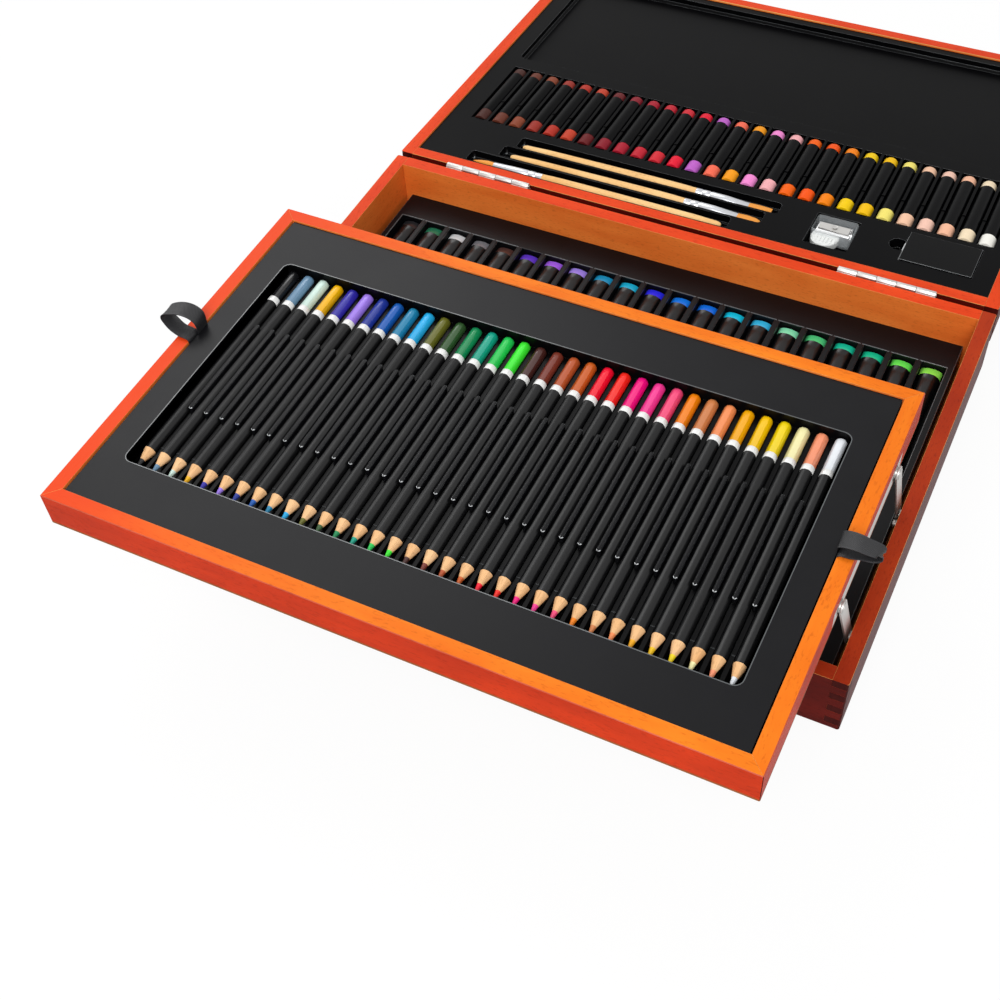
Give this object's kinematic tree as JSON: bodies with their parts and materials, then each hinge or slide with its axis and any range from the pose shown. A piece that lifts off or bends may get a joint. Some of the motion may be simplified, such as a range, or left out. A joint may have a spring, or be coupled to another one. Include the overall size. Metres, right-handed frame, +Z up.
{
  "type": "wooden art case with swing-out pencil tray",
  "caption": "Hinged wooden artist's case with a pencil tray that swings out level on parallel arms, paint tubes in the base and pastels and brushes in the lid",
  "frame": {"origin": "centre of the box's underside, on the table", "axes": "+X along the length to the right, +Y from the front to the hinge side, +Z up"},
  "size_m": [0.4474, 0.7363, 0.134],
  "materials": {
    "case_wood": "red stained and lacquered hardwood",
    "tray_wood": "orange stained and lacquered hardwood",
    "plywood": "thin stained plywood",
    "liner_plastic": "black formed plastic, satin",
    "bright_steel": "nickel plated steel sheet and pins",
    "screw_steel": "zinc plated steel",
    "pencil_lacquer": "cedar with glossy black lacquer and coloured caps",
    "tube_metal": "glossy black printed tube with a coloured band",
    "ribbon_satin": "woven black satin ribbon",
    "pastel_wax": "soft coloured wax in a black paper wrap",
    "brush_wood": "clear lacquered light wood",
    "ferrule_metal": "bright drawn aluminium",
    "brush_hair": "orange nylon bristles",
    "clear_plastic": "clear moulded plastic",
    "wedge_metal": "cast light alloy",
    "eraser_rubber": "white vinyl rubber",
    "sleeve_card": "glossy black card sleeve"
  },
  "bodies": {
    "case": {"case_left_wall": "case_wood", "case_right_wall": "case_wood", "case_front_wall": "case_wood", "case_rear_wall": "case_wood", "case_bottom_panel": "plywood", "case_liner": "liner_plastic", "case_hinge_leaf_left": "bright_steel", "case_hinge_leaf_right": "bright_steel", "case_hinge_screws": "screw_steel", "paint_tubes": "tube_metal", "hinge_pins": "bright_steel", "link_bracket_left": "bright_steel", "link_bracket_right": "bright_steel", "bracket_screws": "screw_steel", "link_pins_left": "bright_steel", "link_pins_right": "bright_steel", "latch_studs": "bright_steel"},
    "rear_arms": {"rear_arm_left": "bright_steel", "rear_arm_right": "bright_steel"},
    "front_arms": {"front_arm_left": "bright_steel", "front_arm_right": "bright_steel"},
    "tray": {"tray_left_rail": "tray_wood", "tray_right_rail": "tray_wood", "tray_front_rail": "tray_wood", "tray_rear_rail": "tray_wood", "tray_bottom_panel": "plywood", "tray_liner": "liner_plastic", "tray_pivot_rivets": "bright_steel", "pencils_blue": "pencil_lacquer", "pencils_green": "pencil_lacquer", "pencils_red": "pencil_lacquer", "pencils_yellow": "pencil_lacquer", "link_bar_left": "bright_steel", "link_bar_right": "bright_steel", "link_bar_screws": "screw_steel", "ribbon_left": "ribbon_satin", "ribbon_right": "ribbon_satin"},
    "lid": {"lid_left_wall": "case_wood", "lid_right_wall": "case_wood", "lid_hinge_side_wall": "case_wood", "lid_latch_side_wall": "case_wood", "lid_panel": "plywood", "lid_liner": "liner_plastic", "lid_hinge_leaf_left": "bright_steel", "lid_hinge_leaf_right": "bright_steel", "lid_hinge_screws": "screw_steel", "oil_pastels": "pastel_wax", "brush_handles": "brush_wood", "brush_ferrules": "ferrule_metal", "brush_tufts": "brush_hair", "sharpener_case": "clear_plastic", "sharpener_wedge": "wedge_metal", "sharpener_blade": "screw_steel", "eraser": "eraser_rubber", "eraser_sleeve": "sleeve_card", "latch_pivot_screws": "screw_steel"},
    "latch_left": {"latch_hook_left": "bright_steel"},
    "latch_right": {"latch_hook_right": "bright_steel"}
  },
  "joints": [
    {"name": "tray_swing", "type": "hinge", "parent": "case", "child": "rear_arms", "pos_m": [0, -0.0085, 0.022], "axis": [1, 0, 0], "range_deg": [-111, 0]},
    {"name": "tray_level", "type": "hinge", "parent": "rear_arms", "child": "tray", "pos_m": [0, -0.05133, 0.1068], "axis": [1, 0, 0], "range_deg": [0, 111]},
    {"name": "front_arm_swing", "type": "hinge", "parent": "case", "child": "front_arms", "pos_m": [0, -0.1055, 0.022], "axis": [1, 0, 0], "range_deg": [-111, 0]},
    {"name": "lid_hinge", "type": "hinge", "parent": "case", "child": "lid", "pos_m": [0, 0.1575, 0.0492], "axis": [1, 0, 0], "range_deg": [0, 151.5]},
    {"name": "latch_left_swing", "type": "hinge", "parent": "lid", "child": "latch_left", "pos_m": [-0.13, 0.46952, 0.02187], "axis": [0, 0.9982, -0.0605], "range_deg": [-90, 0]},
    {"name": "latch_right_swing", "type": "hinge", "parent": "lid", "child": "latch_right", "pos_m": [0.13, 0.46952, 0.02187], "axis": [0, 0.9982, -0.0605], "range_deg": [0, 90]}
  ],
  "couplings": [
    {"joint": "tray_level", "follows": "tray_swing", "ratio": -1},
    {"joint": "front_arm_swing", "follows": "tray_swing", "ratio": 1}
  ]
}
